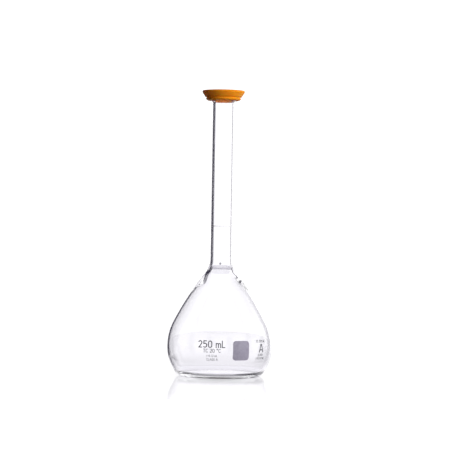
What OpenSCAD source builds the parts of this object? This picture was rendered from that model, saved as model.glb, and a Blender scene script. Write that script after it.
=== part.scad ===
// Volumetric flask, 250 mL, with a snap cap.
// Millimetres, +Z up the neck, origin on the bench under the middle of the foot, print facing -Y.

/* [Bulb] */
// Outside radius at the widest point
bulb_r = 40.8; // [40.5:0.1:41.2]
// Height of the widest point above the bench
waist_z = 23.3; // [22.5:0.1:24]
// Radius of the wall's curve below the widest point
belly_curve = 34.8; // [34:0.1:36]
// Radius of the wall's curve above the widest point
side_curve = 42.3; // [41.5:0.1:43]
// Angle that the side curve turns through before the shoulder starts, in degrees
side_turn = 26.85; // [26:0.05:27.5]
// Radius of the long, nearly straight shoulder
shoulder_curve = 216; // [205:1:230]
// Radius of the rounded corner between the wall and the foot
foot_corner = 5.5; // [4.5:0.1:6.5]
// Height that the middle of the foot is pushed up
push_up = 1.5; // [0.8:0.1:2]
// Width of the flat ring that the flask stands on
foot_ring_w = 2.4; // [1.5:0.1:4]

/* [Glass] */
// Wall thickness of the bulb
bulb_wall = 1.42; // [1.2:0.02:2]
// Glass thickness at the foot
foot_wall = 2.5; // [2:0.1:3.5]
// Wall thickness of the neck tube
neck_wall = 1.5; // [1.2:0.05:1.7]

/* [Neck] */
// Outside radius of the neck tube
neck_r = 8.4; // [8.2:0.1:8.6]
// Radius of the hollow curve that runs the shoulder into the neck
throat_curve = 15.6; // [14:0.1:17]
// Height of the flame seal between the bulb and the neck tube
seal_z = 83.5; // [80:0.5:86]
// Height of the fire-polished rim
rim_z = 218.2; // [210:0.1:225]
// Radius of the bead's outer curve
bead_curve = 3.4; // [3.2:0.1:3.6]
// Outside radius of the bead
bead_r = 10; // [9.8:0.1:10.2]
// Radius of the hollow curve between the neck and the bead
flare_curve = 1.5; // [1:0.1:2.5]
// Radius of the rounded edge inside the mouth
mouth_round = 1; // [0.8:0.1:1.1]

/* [Fired marks] */
// Height of the graduation ring
ring_z = 116; // [110:0.1:125]
// Width of the graduation ring's line
ring_w = 0.4; // [0.3:0.05:0.6]
// Thickness of the fired enamel
enamel = 0.12; // [0.08:0.01:0.2]
// Azimuth of the capacity figures, in degrees from the front towards +X
capacity_azimuth = -8; // [-20:1:0]
// Azimuth of the marking spot, in degrees from the front towards +X
spot_azimuth = 24; // [20:0.5:27]
// Azimuth of the class letter, in degrees from the front towards +X
class_azimuth = 50.5; // [45:0.5:70]
// Width of the marking spot
spot_w = 13.2; // [10:0.1:14]
// Height of the marking spot
spot_h = 14.8; // [8:0.1:16]

/* [Cap] */
// Radius of the cap's rim
cap_r = 16.4; // [16:0.1:18]
// Radius at the bottom of the cap's sloping wall
skirt_r = 14; // [13.6:0.1:14.5]
// Radius at the bottom edge of the skirt
hem_r = 12; // [11.7:0.1:12.6]
// Height of the cap above the glass rim
cap_rise = 2.7; // [2.4:0.1:3.5]
// Depth of the skirt below the glass rim
skirt_drop = 5; // [4.5:0.1:6]
// Depth of the plug below the glass rim
plug_drop = 6; // [5.2:0.1:8]
// Wall thickness of the moulding
cap_wall = 1.3; // [1:0.1:1.4]
// Radial clearance of the plug in the bore
plug_clearance = 0.05; // [0.02:0.01:0.1]

/* [Hidden] */

// Facets of a full turn, and steps of an arc drawn as points
round_fn = 180;
arc_steps = 14;
// A length that reaches past everything
beyond = 400;

glass = [0.86, 0.9, 0.92, 0.4];
enamel_grey = [0.5, 0.5, 0.53];
spot_grey = [0.65, 0.62, 0.69];
cap_orange = [0.85, 0.5, 0.1];

// Points of a circular arc about c, from angle a0 to angle a1
function arc(c, r, a0, a1, steps = arc_steps) =
    [for (i = [0:steps]) let (a = a0 + (a1 - a0) * i / steps) c + r * [cos(a), sin(a)]];

// Radius of the circle that rises by h over a half chord a
function dome_radius(a, h) = (a * a + h * h) / (2 * h);

// Centres of the three curves of the wall, each in (radius, height)
belly_c = [bulb_r - belly_curve, waist_z];
side_c = [bulb_r - side_curve, waist_z];
shoulder_c = side_c + (side_curve - shoulder_curve) * [cos(side_turn), sin(side_turn)];

// Centre of a corner that touches the floor and the belly curve grown outwards by grow
function corner_c(grow, floor_z, corner) =
    let (run = belly_curve + grow - corner, fall = waist_z - floor_z - corner)
    [belly_c.x + sqrt(run * run - fall * fall), floor_z + corner];

// Angle at which the corner meets the belly curve
function corner_turn(grow, floor_z, corner) =
    asin((waist_z - floor_z - corner) / (belly_curve + grow - corner));

// Angle at which the shoulder meets the throat
function throat_turn(grow, tube_r, throat) =
    acos((tube_r + throat - shoulder_c.x) / (shoulder_curve + grow + throat));

// Centre of the throat's hollow curve
function throat_c(grow, tube_r, throat) =
    let (a = throat_turn(grow, tube_r, throat))
    shoulder_c + (shoulder_curve + grow + throat) * [cos(a), sin(a)];

// Wall of a flask from the foot's corner up to where the throat becomes a straight tube.
// grow moves the wall curves outwards; the corner and the throat have their own radii.
function flask_wall(grow, floor_z, corner, tube_r, throat) =
    let (low = corner_turn(grow, floor_z, corner), high = throat_turn(grow, tube_r, throat))
    concat(arc(corner_c(grow, floor_z, corner), corner, -90, -low),
           arc(belly_c, belly_curve + grow, -low, 0),
           arc(side_c, side_curve + grow, 0, side_turn),
           arc(shoulder_c, shoulder_curve + grow, side_turn, high),
           arc(throat_c(grow, tube_r, throat), throat, 180 + high, 180));

// Inside surface of the glass
bore_r = neck_r - neck_wall;
inner_corner = foot_corner + bulb_wall;
inner_throat = throat_curve + (bulb_wall + neck_wall) / 2;

// Flat ring under the foot
ring_outer = corner_c(0, 0, foot_corner).x;
ring_inner = ring_outer - foot_ring_w;
foot_dome = dome_radius(ring_inner, push_up);
floor_r = corner_c(-bulb_wall, foot_wall, inner_corner).x;
floor_dome = dome_radius(floor_r, push_up);

// Bead at the rim: its outer curve, and the small round inside the mouth
bead_x = bead_r - bead_curve;
mouth_x = bore_r + mouth_round;
mouth_reach = bead_curve - mouth_round;
mouth_rise = sqrt(mouth_reach * mouth_reach - pow(mouth_x - bead_x, 2));
bead_z = rim_z - mouth_round - mouth_rise;
mouth_turn = atan2(mouth_rise, mouth_x - bead_x);
flare_x = neck_r + flare_curve;
flare_fall = sqrt(pow(flare_curve + bead_curve, 2) - pow(flare_x - bead_x, 2));
flare_turn = atan2(flare_fall, flare_x - bead_x);

// Rim of the glass in (radius, height), from the outside of the neck over the bead to the bore
rim = concat(arc([flare_x, bead_z - flare_fall], flare_curve, 180, 180 - flare_turn),
             arc([bead_x, bead_z], bead_curve, -flare_turn, mouth_turn),
             arc([mouth_x, rim_z - mouth_round], mouth_round, mouth_turn, 180));

// Half section of all the glass, in (radius, height)
module glass_section() {
    difference() {
        polygon(concat([[0, 0]],
                       flask_wall(0, 0, foot_corner, neck_r, throat_curve),
                       rim,
                       [[0, rim_z - mouth_round]]));
        polygon(concat([[0, foot_wall]],
                       flask_wall(-bulb_wall, foot_wall, inner_corner, bore_r, inner_throat),
                       [[bore_r, beyond], [0, beyond]]));
    }
    floor_lift();
}

// Extra glass of the pushed-up floor, inside the bulb
module floor_lift() {
    polygon(concat([[0, foot_wall / 2], [floor_r, foot_wall / 2]],
                   arc([0, foot_wall + push_up - floor_dome], floor_dome,
                       atan2(floor_dome - push_up, floor_r), 90)));
}

// Hollow under the foot
module foot_hollow() {
    polygon(concat([[0, -push_up], [ring_inner, -push_up]],
                   arc([0, push_up - foot_dome], foot_dome,
                       atan2(foot_dome - push_up, ring_inner), 90)));
}

module bulb() {
    color(glass) rotate_extrude($fn = round_fn) difference() {
        intersection() {
            glass_section();
            square([beyond, seal_z]);
        }
        foot_hollow();
    }
}

module neck_tube() {
    color(glass) rotate_extrude($fn = round_fn) intersection() {
        glass_section();
        translate([0, seal_z]) square([beyond, beyond]);
    }
}

module graduation_ring() {
    color(enamel_grey) rotate_extrude($fn = round_fn)
        translate([neck_r, ring_z - ring_w / 2]) square([enamel, ring_w]);
}

// Enamel print follows the bulb's wall inside this band of heights
print_low = 9;
print_high = 36;
print_in = 25;
print_out = 45;

// A flat drawing, in width and height, fired onto the bulb's wall at an azimuth
module fired(azimuth) {
    intersection() {
        rotate_extrude($fn = round_fn) intersection() {
            difference() {
                polygon(concat([[0, 0]], flask_wall(enamel, 0, foot_corner, neck_r, throat_curve)));
                polygon(concat([[0, 0]], flask_wall(0, 0, foot_corner, neck_r, throat_curve)));
            }
            translate([print_in, print_low]) square([print_out - print_in, print_high - print_low]);
        }
        rotate([90, 0, azimuth]) translate([0, 0, print_in]) linear_extrude(print_out - print_in) children();
    }
}

// A plain stroke alphabet on a grid 3.2 wide and 6 high. A letter is a list of strokes, and a stroke
// is a list of points along the middle of the pen. A stroke that ends where it starts is a ring.
pen = 0.9;
tip = pen / 2;
glyph_w = 3.2;
glyph_h = 6;
bow_steps = 6;
function bow(x, y, r, a0, a1) = arc([x, y], r, a0, a1, bow_steps);

function glyph(letter) =
    letter == "0" ? [concat([[0, 1.6]], bow(1.6, 4.4, 1.6, 180, 0), bow(1.6, 1.6, 1.6, 0, -180))] :
    letter == "1" ? [[[0.6, 4.7], [1.7, 5.8]], [[1.8, glyph_h + tip], [1.8, -tip]]] :
    letter == "2" ? [concat(bow(1.6, 4.4, 1.6, 165, -40), [[0.5, 0.25]]), [[-0.2, 0], [3.4, 0]]] :
    letter == "5" ? [[[3.2, 6], [0.3, 6], [0.3, 3]], concat([[0.3, 3.5]], bow(1.4, 1.9, 1.9, 95, -145))] :
    letter == "A" ? [[[-0.3, -tip], [1.5, 6], [2.5, 6], [4.3, -tip]], [[0.4, 1.7], [3.6, 1.7]]] :
    letter == "C" ? [concat(bow(1.6, 4.4, 1.6, 15, 180), bow(1.6, 1.6, 1.6, 180, 345))] :
    letter == "L" ? [[[0, glyph_h + tip], [0, 0], [2.8, 0]]] :
    letter == "m" ? [[[0, 4.2], [0, -tip]],
                     concat([[0, 2.7]], bow(1.05, 2.75, 1.05, 140, 0), [[2.1, -tip]]),
                     concat([[2.1, 2.7]], bow(3.15, 2.75, 1.05, 140, 0), [[4.2, -tip]])] :
    letter == "S" ? [concat(bow(1.6, 4.45, 1.55, 15, 245), bow(1.6, 1.55, 1.55, 65, -165))] :
    letter == "T" ? [[[-0.1, 6], [3.3, 6]], [[1.6, 6], [1.6, -tip]]] :
    letter == "±" ? [[[0, 3.6], [3.2, 3.6]], [[1.6, 2], [1.6, 5.2]], [[0, 0.2], [3.2, 0.2]]] :
    letter == "°" ? [bow(1, 5.4, 1, 0, 360)] :
    letter == "." ? [[[0, 0], [pen, 0]]] : [];

// How far the next letter starts after this one, on the grid
function advance(letter) =
    letter == "m" ? 5.7 :
    letter == "A" ? 5.8 :
    letter == "." ? 2.4 :
    letter == "°" ? 3.6 :
    letter == " " ? 2.6 : 4.8;

// Where letter i of a line starts
function pen_x(line, i) = i == 0 ? 0 : pen_x(line, i - 1) + advance(line[i - 1]);

// Mitred step from the middle of a stroke to its left edge, between points a, b and c
function unit(v) = v / norm(v);
function mitre(a, b, c) =
    let (to = unit(b - a), from = unit(c - b)) [-to.y - from.y, to.x + from.x] / (1 + to * from);

// Step at point i of an open stroke, and of a ring whose last point isn't repeated
function open_step(p, i) =
    let (last = len(p) - 1)
    i == 0 ? mitre(2 * p[0] - p[1], p[0], p[1]) :
    i == last ? mitre(p[last - 1], p[last], 2 * p[last] - p[last - 1]) : mitre(p[i - 1], p[i], p[i + 1]);
function ring_step(p, i) = mitre(p[(i + len(p) - 1) % len(p)], p[i], p[(i + 1) % len(p)]);

// Points of a curve with no point twice in a row
function clean(p) = [for (i = [0:len(p) - 1]) if (i == 0 || norm(p[i] - p[max(i - 1, 0)]) > 0.001) p[i]];

// One stroke of the pen, with square ends
module open_stroke(p) {
    last = len(p) - 1;
    polygon(concat([for (i = [0:last]) p[i] + open_step(p, i) * tip],
                   [for (i = [last:-1:0]) p[i] - open_step(p, i) * tip]));
}

// A closed ring of the pen, drawn clockwise or counter-clockwise
module ring_stroke(p) {
    outward = ring_turn(p);
    difference() {
        polygon([for (i = [0:len(p) - 1]) p[i] + outward * ring_step(p, i) * tip]);
        polygon([for (i = [0:len(p) - 1]) p[i] - outward * ring_step(p, i) * tip]);
    }
}

// 1 where the outside of a ring is on the left of its path, or -1
function ring_turn(p) = cross(p[1] - p[0], p[2] - p[1]) < 0 ? 1 : -1;

module stroke(raw) {
    p = clean(raw);
    last = len(p) - 1;
    if (norm(p[0] - p[last]) < 0.001) ring_stroke([for (i = [0:last - 1]) p[i]]);
    else open_stroke(p);
}

// One centred line of print, where high is the height of its capitals
module print_line(line, high, middle_z) {
    long = pen_x(line, len(line) - 1) + glyph_w;
    translate([0, middle_z]) scale(high / (glyph_h + pen)) translate([-long / 2, -glyph_h / 2])
        for (i = [0:len(line) - 1])
            translate([pen_x(line, i), 0])
                for (s = glyph(line[i])) stroke(s);
}

module capacity_mark() {
    color(enamel_grey) fired(capacity_azimuth) print_line("250 mL", 5.5, 27);
}

module standards_mark() {
    color(enamel_grey) fired(capacity_azimuth) {
        print_line("TC 20 °C", 2.9, 22.1);
        print_line("± 0.12 mL", 1.6, 18.2);
        print_line("CLASS A", 1.8, 15.4);
    }
}

module marking_spot() {
    corner = 2.4;
    middle_z = 22.2;
    color(spot_grey) fired(spot_azimuth) translate([0, middle_z]) {
        square([spot_w - 2 * corner, spot_h], center = true);
        square([spot_w, spot_h - 2 * corner], center = true);
        for (x = [-1, 1], y = [-1, 1])
            translate([x * (spot_w / 2 - corner), y * (spot_h / 2 - corner)])
                circle(corner, $fn = 48);
    }
}

module class_mark() {
    color(enamel_grey) fired(class_azimuth) {
        print_line("TC 250 mL", 1.9, 29);
        print_line("A", 6.6, 23.6);
        print_line("CLASS", 1.6, 18.6);
        print_line("± 0.12 mL", 1.9, 16.1);
    }
}

// Cap: heights, with the ceiling just clear of the glass rim
rim_gap = 0.1;
cap_top = rim_z + cap_rise;
ceiling_z = rim_z + rim_gap;
hem_z = rim_z - skirt_drop;
plug_z = rim_z - plug_drop;

// Rounded edge of the cap's rim
rim_edge = 1.3;
edge_round = 0.5;

// The bead of the glass turns inside the skirt with this much room
bead_room = 0.5;
cavity_r = bead_r + bead_room;

// Shallow dish in the top, and the groove below it that keeps the moulding's walls even
dish_depth = 1;
dish_r = cap_r - cap_wall;
groove_depth = 4.6;
groove_in = cavity_r + cap_wall;
groove_out = skirt_r - cap_wall + 0.5;

// Plug, hollow from below, with a tapered nose
plug_r = bore_r - plug_clearance;
nose_taper = 0.35;
nose_length = 2;
plug_root = ceiling_z + rim_gap;

// Half section of the cap's disc and skirt, in (radius, height)
module disc_section() {
    difference() {
        polygon(concat([[0, hem_z], [hem_r, hem_z], [skirt_r, hem_z + skirt_r - hem_r]],
                       arc([cap_r - edge_round, cap_top - rim_edge], edge_round, -30, 0, 4),
                       arc([cap_r - edge_round, cap_top - edge_round], edge_round, 0, 90, 6),
                       [[0, cap_top]]));
        translate([0, hem_z - skirt_drop]) square([cavity_r, skirt_drop + ceiling_z - hem_z]);
        translate([0, cap_top - dish_depth]) square([dish_r, cap_rise]);
        polygon([[groove_in, cap_top], [groove_in, cap_top - groove_depth],
                 [groove_out, cap_top - groove_depth], [dish_r, cap_top]]);
    }
}

// Half section of the plug
module plug_section() {
    hollow_r = plug_r - cap_wall;
    difference() {
        polygon([[0, plug_root], [0, plug_z], [plug_r - nose_taper, plug_z],
                 [plug_r, plug_z + nose_length], [plug_r, plug_root]]);
        polygon([[0, ceiling_z - rim_gap], [0, plug_z - nose_length],
                 [hollow_r - nose_taper, plug_z - nose_length], [hollow_r, ceiling_z - rim_gap]]);
    }
}

module snap_cap() {
    color(cap_orange) rotate_extrude($fn = round_fn) {
        disc_section();
        plug_section();
    }
}

bulb();
neck_tube();
graduation_ring();
capacity_mark();
standards_mark();
marking_spot();
class_mark();
snap_cap();
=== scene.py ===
"""Looks of a 250 mL volumetric flask with a snap cap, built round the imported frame.

Outlines are (radius, height) in millimetres, scaled to metres when a mesh is made.
The print faces -Y. Azimuths run from the front (-Y) towards +X.
"""

import math

import bmesh
import bpy
from mathutils import Matrix, Vector, noise


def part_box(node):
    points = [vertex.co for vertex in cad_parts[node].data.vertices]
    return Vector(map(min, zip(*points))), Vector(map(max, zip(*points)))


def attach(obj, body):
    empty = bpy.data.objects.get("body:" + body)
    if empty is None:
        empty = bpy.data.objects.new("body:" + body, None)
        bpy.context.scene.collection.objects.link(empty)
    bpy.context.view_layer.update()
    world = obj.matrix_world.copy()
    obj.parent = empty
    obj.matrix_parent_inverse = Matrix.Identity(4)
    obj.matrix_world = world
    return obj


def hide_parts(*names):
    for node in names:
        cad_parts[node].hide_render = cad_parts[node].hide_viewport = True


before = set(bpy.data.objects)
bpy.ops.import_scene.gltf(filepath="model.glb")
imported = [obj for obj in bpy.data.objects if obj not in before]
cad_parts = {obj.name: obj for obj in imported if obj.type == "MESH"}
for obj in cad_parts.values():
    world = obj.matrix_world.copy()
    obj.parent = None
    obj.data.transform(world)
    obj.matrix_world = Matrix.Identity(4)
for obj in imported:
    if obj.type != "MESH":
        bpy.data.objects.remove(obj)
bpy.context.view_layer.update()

MM = 0.001
TURN = 2 * math.pi

# ---------------------------------------------------------------- sizes
# From the frame
bulb_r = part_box("bulb")[1].x / MM
seal_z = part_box("bulb")[1].z / MM
rim_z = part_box("neck_tube")[1].z / MM
bead_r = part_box("neck_tube")[1].x / MM
cap_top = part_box("snap_cap")[1].z / MM
cap_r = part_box("snap_cap")[1].x / MM

# The curves and walls of the glass, as the part's source draws them
waist_z = 23.3
belly_curve = 34.8
side_curve = 42.3
side_turn = 26.85
shoulder_curve = 216
foot_corner = 5.5
push_up = 1.5
foot_ring_w = 2.4
foot_edge = 0.6
bulb_wall = 1.42
foot_wall = 2.5
neck_wall = 1.5
neck_r = 8.4
throat_curve = 15.6
bead_curve = 3.4
flare_curve = 1.5
mouth_round = 1
bore_r = neck_r - neck_wall

# The cap's moulding, as the part's source draws it
skirt_r = 14
cap_wall = 1.3
dish_depth = 1
groove_depth = 4.6
skirt_drop = 5
plug_drop = 6
rim_gap = 0.1
bead_room = 0.5
plug_clearance = 0.05
nose_length = 2
nose_taper = 0.35

# The unevenness of the blown glass, which only the looks have. The weld at the seal stands out on both
# faces. The glass gathered below it is thicker inside, and ripples at the flask's left and right.
drift_place = Vector((4.1, 0.7, 2.9))
drift_scale = 1.3
drift_height = 14
weld_width = 1.3
weld_outside = 0.2
weld_inside = 0.1
gather_drop = 8
gather_width = 6
gather_depth = 1.1
side_depth = 0.4
ripple_length = 8
ripple_depth = 0.35
ripple_outside = 0.03

# A point nearer to the axis than this is on it
ON_AXIS = 1e-6
# Heights closer together than this are the same
LEVEL = 1e-4
# Points of an outline closer to a cut than this are left out, so that no sliver faces arise
TOO_CLOSE = 0.05


# ---------------------------------------------------------------- outlines
def arc(centre, radius, start, stop, steps):
    """Points of a circular arc about centre, from the angle start to stop in degrees."""
    turns = [math.radians(start + (stop - start) * i / steps) for i in range(steps + 1)]
    return [(centre[0] + radius * math.cos(a), centre[1] + radius * math.sin(a)) for a in turns]


def dome_radius(half_chord, rise):
    """Radius of the circle that rises by rise over a half chord."""
    return (half_chord ** 2 + rise ** 2) / (2 * rise)


def on_circle(centre, radius, angle):
    """Point at an angle in degrees on a circle."""
    return arc(centre, radius, angle, angle, 1)[0]


belly_c = (bulb_r - belly_curve, waist_z)
side_c = (bulb_r - side_curve, waist_z)
shoulder_c = on_circle(side_c, side_curve - shoulder_curve, side_turn)


def corner(grow, floor_z, radius):
    """Centre of the foot's corner, and the angle at which it meets the belly curve."""
    run = belly_curve + grow - radius
    fall = waist_z - floor_z - radius
    centre = (belly_c[0] + math.sqrt(run * run - fall * fall), floor_z + radius)
    return centre, math.degrees(math.asin(fall / run))


def flask_wall(grow, floor_z, corner_r, tube_r, throat):
    """Wall of the flask from the foot's corner to the start of the straight tube."""
    corner_c, low = corner(grow, floor_z, corner_r)
    reach = shoulder_curve + grow + throat
    high = math.degrees(math.acos((tube_r + throat - shoulder_c[0]) / reach))
    return (arc(corner_c, corner_r, -90, -low, 14)
            + arc(belly_c, belly_curve + grow, -low, 0, 30)[1:]
            + arc(side_c, side_curve + grow, 0, side_turn, 24)[1:]
            + arc(shoulder_c, shoulder_curve + grow, side_turn, high, 76)[1:]
            + arc(on_circle(shoulder_c, reach, high), throat, 180 + high, 180, 30)[1:])


def cut(points, z, keep_below):
    """The part of a rising outline below or above a height, ending or starting exactly at it."""
    for a, b in zip(points, points[1:]):
        if a[1] < z <= b[1]:
            t = (z - a[1]) / (b[1] - a[1])
            at = (a[0] + (b[0] - a[0]) * t, z)
    if keep_below:
        return [p for p in points if p[1] < z - TOO_CLOSE] + [at]
    return [at] + [p for p in points if p[1] > z + TOO_CLOSE]


def straight(a, b, steps):
    """Points of a straight line without its ends."""
    along = [i / steps for i in range(1, steps)]
    return [(a[0] + (b[0] - a[0]) * t, a[1] + (b[1] - a[1]) * t) for t in along]


def rounded(points, radius, steps=4):
    """An open outline with every corner between its ends rounded."""
    result = [points[0]]
    for a, b, c in zip(points, points[1:], points[2:]):
        a, b, c = Vector(a), Vector(b), Vector(c)
        back, on = a - b, c - b
        size = min(radius, back.length * 0.45, on.length * 0.45)
        start, stop = b + back.normalized() * size, b + on.normalized() * size
        for i in range(steps + 1):
            t = i / steps
            p = start * (1 - t) ** 2 + b * 2 * t * (1 - t) + stop * t ** 2
            result.append((p.x, p.y))
    return result + [points[-1]]


def onto_axis(points):
    """An outline whose points on the axis have a radius of exactly 0."""
    return [(0 if r < ON_AXIS else r, z) for r, z in points]


# ---------------------------------------------------------------- meshes
def lathe(name, outline, turns, closed=False, warp=None):
    """An outline turned about Z. A point on the axis becomes one vertex, and warp moves the others.

    Faces in the plane of the seal take the second material.
    """
    vertices, rows = [], []
    for r, z, *skin in outline:
        count = 1 if r < ON_AXIS else turns
        rows.append(range(len(vertices), len(vertices) + count))
        for k in range(count):
            azimuth = TURN * k / turns
            r2, z2 = warp(r, z, azimuth, *skin) if warp and count > 1 else (r, z)
            vertices.append((r2 * MM * math.sin(azimuth), -r2 * MM * math.cos(azimuth), z2 * MM))
    faces = []
    for low, high in zip(rows, rows[1:] + (rows[:1] if closed else [])):
        for k in range(turns):
            n = k + 1
            ring = [low[k % len(low)], low[n % len(low)], high[n % len(high)], high[k % len(high)]]
            faces.append(list(dict.fromkeys(ring)))
    mesh = bpy.data.meshes.new(name)
    mesh.from_pydata(vertices, [], faces)
    for face in mesh.polygons:
        heights = [mesh.vertices[i].co.z / MM for i in face.vertices]
        face.material_index = int(max(abs(z - seal_z) for z in heights) < LEVEL)
    tidy = bmesh.new()
    tidy.from_mesh(mesh)
    bmesh.ops.recalc_face_normals(tidy, faces=tidy.faces)
    tidy.to_mesh(mesh)
    tidy.free()
    mesh.shade_smooth()
    mesh.set_sharp_from_angle(angle=math.radians(40))
    piece = bpy.data.objects.new(name, mesh)
    bpy.context.scene.collection.objects.link(piece)
    return piece


OUTSIDE, INSIDE = 0, 1


def skinned(points, skin):
    """An outline whose points also say which side of the glass they are on."""
    return [(r, z, skin) for r, z in points]


outer_wall = flask_wall(0, 0, foot_corner, neck_r, throat_curve)
inner_corner = foot_corner + bulb_wall
inner_throat = throat_curve + (bulb_wall + neck_wall) / 2
inner_wall = flask_wall(-bulb_wall, foot_wall, inner_corner, bore_r, inner_throat)


def bump(x, middle, width):
    """A smooth hump of height 1."""
    return math.exp(-((x - middle) / width) ** 2)


def glass_warp(r, z, azimuth, skin):
    """Where the unevenness of the blown glass moves a point to, in radius and height."""
    spot = Vector((math.sin(azimuth), math.cos(azimuth), z / drift_height))
    drift = noise.noise(spot * drift_scale + drift_place)
    weld = bump(z, seal_z + 0.2 + 0.3 * drift, weld_width)
    gather = bump(z, seal_z - gather_drop, gather_width)
    side = math.sin(azimuth) ** 6 * (1 - 0.4 * math.sin(azimuth))
    ripple = side * math.sin(TURN * (seal_z - z) / ripple_length + 3 * drift)
    if skin == OUTSIDE:
        return r + weld_outside * weld + ripple_outside * gather * ripple, z
    thicker = gather_depth + side_depth * side + ripple_depth * ripple
    return r - weld_inside * weld - gather * thicker, z


def make_bulb():
    """The blown bulb: foot ring, pushed-up floor, wall and throat up to the seal."""
    ring_outer = corner(0, 0, foot_corner)[0][0]
    ring_inner = ring_outer - foot_ring_w
    floor_r = corner(-bulb_wall, foot_wall, inner_corner)[0][0]
    hollow = dome_radius(ring_inner, push_up)
    rise = dome_radius(floor_r, push_up)
    edge = math.degrees(math.atan2(hollow - push_up, ring_inner))
    under = onto_axis(arc((0, push_up - hollow), hollow, 90, edge, 24))
    foot = rounded([under[-2], under[-1], outer_wall[0]], foot_edge)[1:-1]
    inner_edge = math.degrees(math.atan2(rise - push_up, floor_r))
    floor = onto_axis(arc((0, foot_wall + push_up - rise), rise, inner_edge, 90, 24))
    outside = under[:-1] + foot + cut(outer_wall, seal_z, True)
    inside = cut(inner_wall, seal_z, True)[::-1] + floor[1:]
    return lathe("bulb_glass", skinned(outside, OUTSIDE) + skinned(inside, INSIDE), 288, warp=glass_warp)


def make_neck():
    """The neck tube from the seal to the fire-polished bead."""
    bead_x = bead_r - bead_curve
    mouth_x = bore_r + mouth_round
    mouth_rise = math.sqrt((bead_curve - mouth_round) ** 2 - (mouth_x - bead_x) ** 2)
    bead_z = rim_z - mouth_round - mouth_rise
    mouth_turn = math.degrees(math.atan2(mouth_rise, mouth_x - bead_x))
    flare_x = neck_r + flare_curve
    flare_fall = math.sqrt((flare_curve + bead_curve) ** 2 - (flare_x - bead_x) ** 2)
    flare_turn = math.degrees(math.atan2(flare_fall, flare_x - bead_x))
    rim = (arc((flare_x, bead_z - flare_fall), flare_curve, 180, 180 - flare_turn, 8)
           + arc((bead_x, bead_z), bead_curve, -flare_turn, mouth_turn, 20)[1:]
           + arc((mouth_x, rim_z - mouth_round), mouth_round, mouth_turn, 180, 8)[1:])
    lower = cut(outer_wall, seal_z, False)
    bore = cut(inner_wall, seal_z, False)
    outside = lower + straight(lower[-1], rim[0], 70) + rim
    inside = straight(rim[-1], bore[-1], 76) + bore[::-1]
    return lathe("neck_glass", skinned(outside, OUTSIDE) + skinned(inside, INSIDE), 192,
                 closed=True, warp=glass_warp)


def make_cap():
    """The moulded snap cap: dished top, coring groove, sloping wall, hem, skirt and hollow plug.

    The plug's faces take the second material, a copy with a painted glow.
    """
    dish = cap_top - dish_depth
    groove = cap_top - groove_depth
    hem = rim_z - skirt_drop
    ceiling = rim_z + rim_gap
    plug = rim_z - plug_drop
    plug_r = bore_r - plug_clearance
    hollow_r = plug_r - cap_wall
    skirt_in = bead_r + bead_room
    groove_in = skirt_in + cap_wall
    groove_out = skirt_r - cap_wall + 0.5
    edge_round = 0.5
    edge_c = cap_r - edge_round
    moulded_round = 0.22
    # The low dot of the moulding gate, a fine raised ring, and the groove that keeps the walls even
    gate = onto_axis(arc((0, dish - 0.9), 1.2, 90, 52, 6))
    ring_top = dish + 0.18
    ring = [(8.6, dish), (8.8, ring_top), (9.4, ring_top), (9.6, dish)]
    top = (gate + [(1.1, dish - 0.05)] + ring
           + [(groove_in, dish), (groove_in, groove), (groove_out, groove), (cap_r - cap_wall, cap_top)])
    # The rounded rim. The sloping wall runs down to a step, and the lower ring bulges below it.
    rim_edge = (arc((edge_c, cap_top - edge_round), edge_round, 90, 0, 6)
                + arc((edge_c, cap_top - cap_wall), edge_round, 0, -30, 4))
    lower_ring = [(14.15, hem + 2.8), (13.3, hem + 2.5), (13.05, hem + 2), (13.65, hem + 1.6),
                  (13.3, hem + 0.7), (12.2, hem), (skirt_in, hem)]
    # The plug, whose hollow is open below
    under = [(skirt_in, ceiling), (plug_r, ceiling), (plug_r, plug + nose_length),
             (plug_r - nose_taper, plug), (hollow_r - 0.26, plug), (hollow_r, rim_z), (0, rim_z)]
    cap = lathe("cap_moulding", rounded(top + rim_edge + lower_ring + under, moulded_round), 256)
    for face in cap.data.polygons:
        corners = [cap.data.vertices[i].co / MM for i in face.vertices]
        face.material_index = int(all(c.z < rim_z - rim_gap and c.xy.length < bead_r for c in corners))
    return cap


# ---------------------------------------------------------------- shader nodes
def node(tree, kind, **values):
    """A shader node. A value named after an input sets or links it, and others are properties."""
    made = tree.nodes.new(kind)
    for name, value in values.items():
        found = [s for s in made.inputs if s.name.replace(" ", "_") == name]
        if not found:
            setattr(made, name, value)
        elif isinstance(value, bpy.types.NodeSocket):
            tree.links.new(value, found[0])
        else:
            found[0].default_value = value
    return made


def maths(tree, operation, *values):
    """A Math node on sockets and numbers."""
    made = tree.nodes.new("ShaderNodeMath")
    made.operation = operation
    for socket, value in zip(made.inputs, values):
        if isinstance(value, bpy.types.NodeSocket):
            tree.links.new(value, socket)
        else:
            socket.default_value = value
    return made.outputs[0]


def material(name):
    """A new material, its tree and its Principled shader."""
    made = bpy.data.materials.new(name)
    made.use_nodes = True
    return made, made.node_tree, made.node_tree.nodes["Principled BSDF"]


def ramp(tree, factor, stops):
    """A colour ramp. A stop is a position and a colour."""
    made = node(tree, "ShaderNodeValToRGB", Fac=factor)
    elements = made.color_ramp.elements
    while len(elements) < len(stops):
        elements.new(0.5)
    for element, (position, colour) in zip(elements, stops):
        element.position = position
        element.color = (*colour, 1)
    return made.outputs["Color"]


def surface_noise(tree, scale, detail=2, roughness=0.5):
    """A noise fixed to the object, with scale features in a metre."""
    place = node(tree, "ShaderNodeTexCoord").outputs["Object"]
    return node(tree, "ShaderNodeTexNoise", Vector=place, Scale=scale, Detail=detail,
                Roughness=roughness).outputs["Fac"]


def bumped(tree, shader, height, strength, distance):
    """Fine relief on a shader, from a height of 0 to 1."""
    made = node(tree, "ShaderNodeBump", Height=height, Strength=strength, Distance=distance)
    tree.links.new(made.outputs["Normal"], shader.inputs["Normal"])


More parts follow.
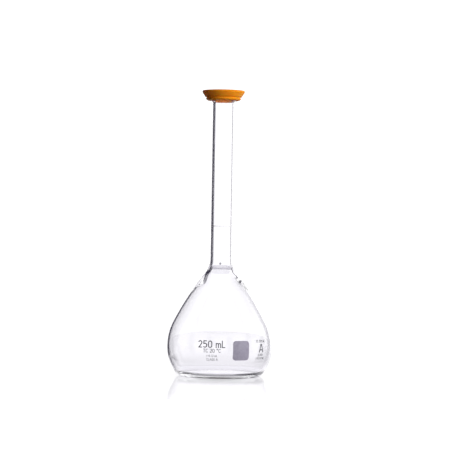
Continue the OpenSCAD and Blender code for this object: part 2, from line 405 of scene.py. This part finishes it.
def length_of(tree, vector):
    """Length of a vector."""
    return node(tree, "ShaderNodeVectorMath", operation="LENGTH", Vector=vector).outputs["Value"]


def scaled(tree, vector, factor):
    """A vector or colour times a factor. Either may be a fixed value."""
    made = node(tree, "ShaderNodeVectorMath", operation="SCALE", Vector=vector, Scale=factor)
    return made.outputs["Vector"]


def smooth(tree, value, start, stop):
    """0 to 1 as value goes from start to stop."""
    made = node(tree, "ShaderNodeMapRange", interpolation_type="SMOOTHSTEP", Value=value)
    made.inputs["From Min"].default_value = start
    made.inputs["From Max"].default_value = stop
    return made.outputs[0]


def between(tree, value, start, stop, low, high):
    """Goes smoothly from low to high as value goes from start to stop."""
    return maths(tree, "MULTIPLY_ADD", smooth(tree, value, start, stop), high - low, low)


def product(tree, *values):
    """Several values multiplied together."""
    result = values[0]
    for value in values[1:]:
        result = maths(tree, "MULTIPLY", result, value)
    return result


def either(tree, chooser, first, second):
    """Colour first where the chooser is 0, and second, which may be fixed, where it is 1."""
    made = node(tree, "ShaderNodeMix", data_type="RGBA", Factor=chooser)
    tree.links.new(first, made.inputs[6])
    if isinstance(second, bpy.types.NodeSocket):
        tree.links.new(second, made.inputs[7])
    else:
        made.inputs[7].default_value = (*second, 1)
    return made.outputs[2]


# ---------------------------------------------------------------- materials
# The glass's own faint tint, then the greys of the painted shade at the seal and of the painted dark
# seed
CLEAR_TINT = (0.985, 0.98, 1)
SEAL_SHADE_TINT = (0.71, 0.7, 0.74)
SEED_SHADE_TINT = (0.12, 0.12, 0.13)


def glass_material():
    """Clear borosilicate glass, with painted grey shade in an uneven band at the seal, and one painted
    dark seed above it.
    """
    made, tree, shader = material("clear_glass")
    place = node(tree, "ShaderNodeTexCoord").outputs["Object"]
    _, _, height = node(tree, "ShaderNodeSeparateXYZ", Vector=place).outputs
    flat = node(tree, "ShaderNodeVectorMath", operation="MULTIPLY", Vector=place).outputs["Vector"]
    flat.node.inputs[1].default_value = (1, 1, 0)
    radius = length_of(tree, flat)
    # The painted grey shade band at the seal wanders up and down by half of this, and is only on the
    # outside face
    wander = 1.2
    lowest = seal_z - wander / 2
    middle = maths(tree, "MULTIPLY_ADD", surface_noise(tree, 160), wander * MM, lowest * MM)
    off_seal = maths(tree, "ABSOLUTE", maths(tree, "SUBTRACT", height, middle))
    outside = between(tree, radius, (neck_r - 0.9) * MM, (neck_r - 0.4) * MM, 0, 0.5)
    seal = maths(tree, "MULTIPLY", smooth(tree, off_seal, 0.0017, 0.0005), outside)
    # Painted shade: a small dark spot where one seed sits in the glass above the seal
    off_seed = node(tree, "ShaderNodeVectorMath", operation="DISTANCE", Vector=place).outputs["Value"]
    off_seed.node.inputs[1].default_value = (-0.0004, -neck_r * MM, (seal_z + 3.6) * MM)
    seed = smooth(tree, off_seed, 0.0012, 0.0007)
    mottle_and_painted_shade = maths(tree, "MAXIMUM", seal, seed)
    tint = ramp(tree, mottle_and_painted_shade, [(0, CLEAR_TINT), (0.5, SEAL_SHADE_TINT), (1, SEED_SHADE_TINT)])
    tree.links.new(tint, shader.inputs["Base Color"])
    shader.inputs["Roughness"].default_value = 0
    shader.inputs["IOR"].default_value = 1.473
    shader.inputs["Transmission Weight"].default_value = 1
    return made


def weld_material():
    """The faces where the two blanks are fused: the glass carries on through them."""
    made, _, shader = material("fused_seam")
    shader.inputs["Alpha"].default_value = 0
    return made


def enamel_material(name, dark, pale):
    """Fired enamel: a matt ceramic print with a slightly uneven coat."""
    made, tree, shader = material(name)
    patch = surface_noise(tree, 420, 4, 0.65)
    tree.links.new(ramp(tree, patch, [(0.35, dark), (0.65, pale)]), shader.inputs["Base Color"])
    shader.inputs["Roughness"].default_value = 0.62
    bumped(tree, shader, surface_noise(tree, 2500, 2), 0.25, 0.00004)
    return made


def polyethylene_material(name, glow):
    """Orange polyethylene: soft, slightly translucent and faintly mottled, with a moulded satin skin.

    The glow stands for key light, which the renderer doesn't send through glass.
    """
    made, tree, shader = material(name)
    mottle_and_painted_shade = surface_noise(tree, 130, 3)
    tree.links.new(ramp(tree, mottle_and_painted_shade, [(0.3, (0.80, 0.27, 0.009)), (0.7, (0.86, 0.31, 0.013))]),
                   shader.inputs["Base Color"])
    shader.inputs["Roughness"].default_value = 0.5
    shader.inputs["Emission Color"].default_value = (1, 0.26, 0.01, 1)
    shader.inputs["Emission Strength"].default_value = glow
    shader.inputs["IOR"].default_value = 1.51
    shader.inputs["Specular IOR Level"].default_value = 0.1
    shader.inputs["Subsurface Weight"].default_value = 0.6
    shader.inputs["Subsurface Radius"].default_value = (1.0, 0.25, 0.06)
    shader.inputs["Subsurface Scale"].default_value = 0.0025
    bumped(tree, shader, surface_noise(tree, 1600, 3), 0.2, 0.00005)
    return made


# ---------------------------------------------------------------- stage
# Bearings are in degrees from straight behind the flask (+Y) towards +X. The main directions are a
# SECTOR apart. The flags between them start CLEAR degrees off a main direction and are full at SHUT.
SECTOR = 45
CLEAR = 9
SHUT = 22
LEFT_FLAG = -SECTOR
RIGHT_FLAG = 40
DUSK = (0.03, 0.026, 0.048)
BACKDROP = (1.17, 1.17, 1.17)
SHOWN_WHITE = (1.3, 1.3, 1.3)
SHOWN_FLOOR = 1.15
UNSEEN_FLOOR = 0.98
ROOM_LEFT = (0.005, 0.002, 0.001)
ROOM_RIGHT = (0.1, 0.085, 0.07)
ROOM_BACK = (0.5, 0.46, 0.42)
FLOOR_TINT = (0.97, 0.96, 1)
FLOOR_BACK = 0.66
FLOOR_REACH = 3
# A hair under the foot, so that the two faces don't share a plane
FLOOR_Z = -0.00006
FOOT_R = 0.0285
PATH_LENGTH = 28


def away_from(tree, bearing, middle):
    """Angle between a bearing and a middle bearing, in degrees."""
    turned = maths(tree, "SUBTRACT", bearing, middle)
    return maths(tree, "ABSOLUTE", maths(tree, "WRAP", turned, 180, -180))


def flag(tree, bearing, middle, full, none, weight):
    """Darkness of a flag about a middle bearing: weight within full degrees of it, 0 beyond none."""
    off = away_from(tree, bearing, middle)
    return maths(tree, "MULTIPLY", smooth(tree, off, none, full), weight)


def openness(tree, flags):
    """How open the surroundings are where several flags overlap."""
    darkest = flags[0]
    for other in flags[1:]:
        darkest = maths(tree, "MAXIMUM", darkest, other)
    return maths(tree, "SUBTRACT", 1, darkest)


def sector_flags(tree, bearing, weight):
    """Dark flags between the eight main directions, on all sides but behind the flask."""
    folded = maths(tree, "PINGPONG", bearing, SECTOR / 2)
    beside = smooth(tree, away_from(tree, bearing, 0), 1.3 * SECTOR, 1.6 * SECTOR)
    return product(tree, smooth(tree, folded, CLEAR, SHUT), beside, weight)


def bearing_of(tree, east, north):
    """Bearing of a place or a direction, in degrees."""
    return maths(tree, "DEGREES", maths(tree, "ARCTAN2", east, north))


def flagged_studio(tree, bearing, rise):
    """White with dark flags, as glass sees it. rise is 0 at the horizon and 1 straight up."""
    # Between the main directions, twice at the left, at the right, and overhead
    flags = [sector_flags(tree, bearing, 0.6),
             flag(tree, bearing, LEFT_FLAG, 26, 33, between(tree, rise, -0.045, -0.03, 0.5, 0.99)),
             flag(tree, bearing, LEFT_FLAG, 18, 41, between(tree, rise, -0.01, 0.05, 0.6, 0)),
             flag(tree, bearing, RIGHT_FLAG, 7, 11, between(tree, rise, -0.035, -0.02, 0.04, 0.85)),
             between(tree, rise, 0.25, 0.6, 0, 0.85)]
    colour = ramp(tree, openness(tree, flags), [(0, DUSK), (1, BACKDROP)])
    return scaled(tree, colour, between(tree, bearing, 5, 30, 1, 1.2))


def dim_room(tree, east, north):
    """What matt surfaces see: dark at the left, a little light at the right and a fill behind."""
    sides = ramp(tree, maths(tree, "MULTIPLY_ADD", east, 0.5, 0.5), [(0, ROOM_LEFT), (1, ROOM_RIGHT)])
    fill = scaled(tree, ROOM_BACK, smooth(tree, north, 0.2, 0.9))
    room = node(tree, "ShaderNodeVectorMath", operation="ADD", Vector=sides)
    tree.links.new(fill, room.inputs[1])
    return room.outputs["Vector"]


def make_world():
    """White behind the object. Glass sees white with dark flags, and matt surfaces see a dim room."""
    world = bpy.data.worlds.new("studio")
    world.use_nodes = True
    tree = world.node_tree
    path = node(tree, "ShaderNodeLightPath").outputs
    way = node(tree, "ShaderNodeTexCoord").outputs["Generated"]
    x, y, z = node(tree, "ShaderNodeSeparateXYZ", Vector=way).outputs
    studio = flagged_studio(tree, bearing_of(tree, x, y), z)
    unseen = either(tree, path["Is Diffuse Ray"], studio, dim_room(tree, x, y))
    final = either(tree, path["Is Camera Ray"], unseen, SHOWN_WHITE)
    tree.links.new(final, tree.nodes["Background"].inputs["Color"])
    world.cycles.sampling_method = "NONE"
    bpy.context.scene.world = world


def flagged_floor(tree, x, y, away):
    """How bright the floor is through the glass: painted flags, a painted uneven shade and a painted
    dark contact line round the foot.
    """
    bearing = bearing_of(tree, x, y)
    # A small flag painted on the floor behind the left of the foot, a dark patch which shades the bulb's
    # lower left corner
    past_edge = smooth(tree, maths(tree, "MULTIPLY_ADD", y, 0.45, x), -0.035, -0.043)
    corner_flag = product(tree, past_edge, between(tree, away, 0.08, 0.12, 0.95, 0),
                          smooth(tree, y, -0.02, 0.01))
    flags = [corner_flag,
             sector_flags(tree, bearing, 0.35),
             flag(tree, bearing, LEFT_FLAG, 20, 26, 0.97),
             flag(tree, bearing, LEFT_FLAG, 18, 41, 0.25),
             flag(tree, bearing, SECTOR / 2, 1, 12, 0.3)]
    # Of the flags, only the small one reaches in under the bulb
    under_bulb = maths(tree, "SUBTRACT", smooth(tree, away, 0.13, 0.1), corner_flag)
    lit = maths(tree, "MAXIMUM", openness(tree, flags), under_bulb)
    shade = product(tree, between(tree, x, -0.14, -0.02, 0.86, 1),
                    between(tree, away, 0.28, 0.6, 1, 1.27),
                    between(tree, away, 0.05, 0.25, 0.8, 0.97),
                    between(tree, away, 0.065, 0.045, 1, 1.35))
    # Painted shade: a dark ring on the floor round the foot's edge, standing for its contact shadow
    off_foot = maths(tree, "ABSOLUTE", maths(tree, "SUBTRACT", away, FOOT_R))
    contact_shade = between(tree, off_foot, 0.0045, 0.002, 1, 0.25)
    return product(tree, shade, contact_shade, lit)


def floor_glow(tree, path, away):
    """Strength of the floor's light: dim on matt surfaces, and with a soft shadow under the flask."""
    dimmed = maths(tree, "MULTIPLY_ADD", path["Is Diffuse Ray"], -0.96, 1)
    shown = between(tree, path["Is Camera Ray"], 0, 1, UNSEEN_FLOOR, SHOWN_FLOOR)
    shadow = maths(tree, "MULTIPLY", between(tree, away, 0.08, 0.03, 0, 0.18), path["Is Camera Ray"])
    return product(tree, dimmed, shown, maths(tree, "SUBTRACT", 1, shadow))


def floor_mirror(tree, path, away):
    """How much the floor mirrors. Seen directly, it mirrors only near the flask."""
    near = between(tree, away, 0.14, 0.25, 1, 0.05)
    near = maths(tree, "MAXIMUM", near, maths(tree, "SUBTRACT", 1, path["Is Camera Ray"]))
    return maths(tree, "MULTIPLY", node(tree, "ShaderNodeFresnel", IOR=1.14).outputs[0], near)


def floor_material():
    """A plain white, faintly glossy table. Its flags and shade are seen only through the glass."""
    made, tree, shader = material("white_table")
    tree.nodes.remove(shader)
    path = node(tree, "ShaderNodeLightPath").outputs
    place = node(tree, "ShaderNodeNewGeometry").outputs["Position"]
    x, y, _ = node(tree, "ShaderNodeSeparateXYZ", Vector=place).outputs
    away = length_of(tree, place)
    brightness = maths(tree, "MAXIMUM", flagged_floor(tree, x, y, away), path["Is Camera Ray"])
    tint = ramp(tree, brightness, [(0, DUSK), (1, FLOOR_TINT)])
    emit = node(tree, "ShaderNodeEmission", Color=tint, Strength=floor_glow(tree, path, away))
    matt = node(tree, "ShaderNodeBsdfDiffuse", Color=(0.1, 0.1, 0.1, 1))
    body = node(tree, "ShaderNodeAddShader")
    tree.links.new(emit.outputs[0], body.inputs[0])
    tree.links.new(matt.outputs[0], body.inputs[1])
    gloss = node(tree, "ShaderNodeBsdfGlossy", Color=(0.9, 0.9, 0.9, 1), Roughness=0.1)
    mixed = node(tree, "ShaderNodeMixShader", Fac=floor_mirror(tree, path, away))
    tree.links.new(body.outputs[0], mixed.inputs[1])
    tree.links.new(gloss.outputs[0], mixed.inputs[2])
    tree.links.new(mixed.outputs[0], tree.nodes["Material Output"].inputs["Surface"])
    made.cycles.emission_sampling = "NONE"
    return made


def make_floor():
    """The table, whose far edge is close behind the flask."""
    mesh = bpy.data.meshes.new("floor")
    corners = [(-FLOOR_REACH, -FLOOR_REACH, FLOOR_Z), (FLOOR_REACH, -FLOOR_REACH, FLOOR_Z),
               (FLOOR_REACH, FLOOR_BACK, FLOOR_Z), (-FLOOR_REACH, FLOOR_BACK, FLOOR_Z)]
    mesh.from_pydata(corners, [], [(0, 1, 2, 3)])
    mesh.materials.append(floor_material())
    floor = bpy.data.objects.new("floor", mesh)
    bpy.context.scene.collection.objects.link(floor)


def make_key_light():
    """One large softbox at the right of the front, which lights only the matt surfaces."""
    light = bpy.data.lights.new("softbox", "AREA")
    light.shape = "SQUARE"
    light.size = 1.3
    light.energy = 28
    softbox = bpy.data.objects.new("softbox", light)
    bpy.context.scene.collection.objects.link(softbox)
    aim = Vector((0, 0, 0.15))
    azimuth = math.radians(50)
    out = 1.3
    height = 0.3
    softbox.location = aim + Vector((out * math.sin(azimuth), -out * math.cos(azimuth), height))
    softbox.rotation_euler = (softbox.location - aim).to_track_quat("Z", "Y").to_euler()
    softbox.visible_camera = False
    softbox.visible_transmission = False
    softbox.visible_glossy = False


def let_light_cross_the_glass():
    """Enough bounces for light piped along the walls and the thick foot to come out again."""
    paths = bpy.context.scene.cycles
    paths.max_bounces = PATH_LENGTH
    paths.transmission_bounces = PATH_LENGTH
    paths.glossy_bounces = PATH_LENGTH


def make_camera():
    """A level camera with a slight roll in radians, at the photograph's angle and framing."""
    lens = bpy.data.cameras.new("camera")
    lens.sensor_width = 36
    lens.lens = 144.5
    camera = bpy.data.objects.new("camera", lens)
    bpy.context.scene.collection.objects.link(camera)
    place = Matrix.Translation((0.0027, -1.4, 0.1169))
    facing = Matrix.Rotation(math.radians(90), 4, "X")
    roll = Matrix.Rotation(0.0163, 4, "Z")
    camera.matrix_world = place @ facing @ roll
    bpy.context.scene.camera = camera


# ---------------------------------------------------------------- assembly
make_camera()
make_world()
make_floor()
make_key_light()
bpy.context.scene.view_settings.view_transform = "Standard"
let_light_cross_the_glass()

clear_glass = glass_material()
fused_seam = weld_material()
grey_enamel = enamel_material("grey_enamel", (0.13, 0.13, 0.15), (0.19, 0.19, 0.21))
spot_enamel = enamel_material("spot_enamel", (0.30, 0.28, 0.36), (0.37, 0.35, 0.43))
pale_enamel = enamel_material("pale_enamel", (0.80, 0.79, 0.82), (0.88, 0.87, 0.9))
orange = polyethylene_material("orange_polyethylene", 0)
# A lit copy of the orange plastic for the plug: its painted glow stands for key light through the glass
glowing_plug = polyethylene_material("backlit_polyethylene", 0.12)

PIECES = [
    (make_bulb(), "bulb", "flask", "glass", clear_glass),
    (make_neck(), "neck_tube", "flask", "glass", clear_glass),
    (make_cap(), "snap_cap", "cap", "polyethylene", orange),
]
for piece, replaced, body, slot, finish in PIECES:
    piece.data.materials.append(finish)
    piece.data.materials.append(fused_seam if finish == clear_glass else glowing_plug)
    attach(piece, body)
    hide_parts(replaced)

for name in ("capacity_mark", "standards_mark", "class_mark"):
    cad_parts[name].material_slots[0].material = grey_enamel
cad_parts["graduation_ring"].material_slots[0].material = pale_enamel
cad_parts["marking_spot"].material_slots[0].material = spot_enamel
